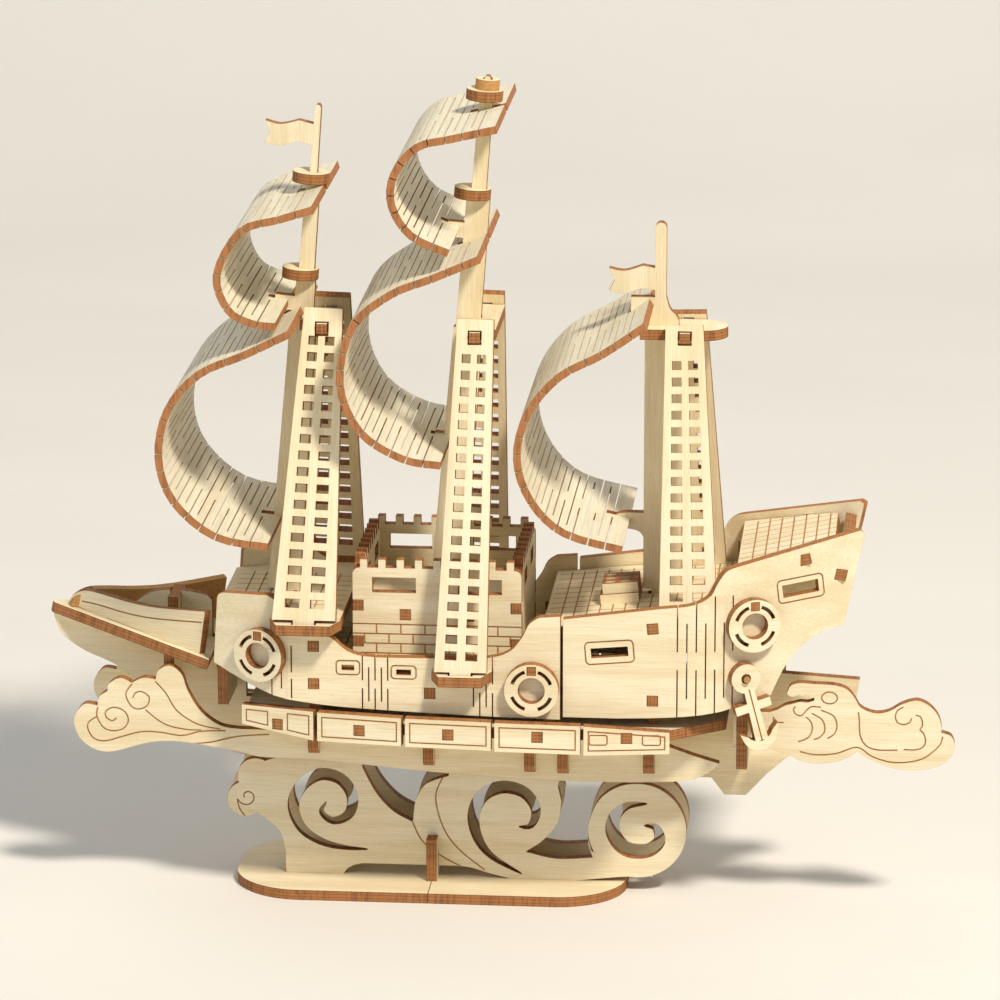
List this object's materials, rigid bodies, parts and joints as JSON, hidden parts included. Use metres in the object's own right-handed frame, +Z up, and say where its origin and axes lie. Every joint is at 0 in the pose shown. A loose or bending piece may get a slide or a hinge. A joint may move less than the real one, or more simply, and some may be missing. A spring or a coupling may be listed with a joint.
{
  "type": "wooden 3d jigsaw model",
  "caption": "Push-fit plywood puzzle of a three-masted sailing ship, standing on a scroll-cut stand over a rounded base.",
  "frame": {"origin": "on the base's underside, in the middle plane and 4.7 mm aft of the base's middle", "axes": "+X towards the stern, +Y towards starboard, +Z up; the bow is at -X"},
  "size_m": [0.2613, 0.0812, 0.2371],
  "materials": {
    "plywood": "matt",
    "sail_plywood": "matt",
    "peg_wood": "matt"
  },
  "bodies": {
    "ship": {"base_plate_bow": "plywood", "base_plate_stern": "plywood", "stand_plate_port": "plywood", "stand_plate_starboard": "plywood", "stand_brace": "plywood", "keel_plate": "plywood", "wave_plate_port": "plywood", "wave_plate_starboard": "plywood", "rib_1": "plywood", "rib_2": "plywood", "rib_3": "plywood", "rib_4": "plywood", "rib_5": "plywood", "rib_6": "plywood", "sponson_deck": "plywood", "gunport_panels_port": "plywood", "gunport_panels_starboard": "plywood", "frame_bow": "plywood", "frame_fore": "plywood", "frame_waist": "plywood", "frame_break": "plywood", "frame_quarter": "plywood", "frame_stern": "plywood", "hull_side_fore_port": "plywood", "hull_side_fore_starboard": "plywood", "hull_side_aft_port": "plywood", "hull_side_aft_starboard": "plywood", "bow_deck": "plywood", "bow_rails": "plywood", "fore_deck": "plywood", "main_deck": "plywood", "quarter_deck": "plywood", "poop_deck": "plywood", "transom": "plywood", "castle_wall_port": "plywood", "castle_wall_starboard": "plywood", "castle_end_walls": "plywood", "castle_floor": "plywood", "foremast": "plywood", "mainmast": "plywood", "mizzenmast": "plywood", "foremast_nests": "plywood", "mainmast_nests": "plywood", "crosstrees": "plywood", "fore_shrouds": "plywood", "main_shrouds": "plywood", "mizzen_shrouds": "plywood", "shroud_channels": "plywood", "fore_topsail": "sail_plywood", "fore_course": "sail_plywood", "main_topsail": "sail_plywood", "main_course": "sail_plywood", "mizzen_sail": "sail_plywood", "life_rings": "plywood", "stern_wave": "plywood", "anchor_pegs": "peg_wood", "deck_hatch": "plywood"},
    "anchor_port": {"anchor_port": "plywood"},
    "anchor_starboard": {"anchor_starboard": "plywood"}
  },
  "joints": [
    {"name": "anchor_swing_port", "type": "hinge", "parent": "ship", "child": "anchor_port", "pos_m": [0.08583, -0.02931, 0.0723], "axis": [0.342, -0.9397, 0], "range_deg": [-20, 25]},
    {"name": "anchor_swing_starboard", "type": "hinge", "parent": "ship", "child": "anchor_starboard", "pos_m": [0.08583, 0.02931, 0.0723], "axis": [0.342, 0.9397, 0], "range_deg": [-25, 20]}
  ]
}
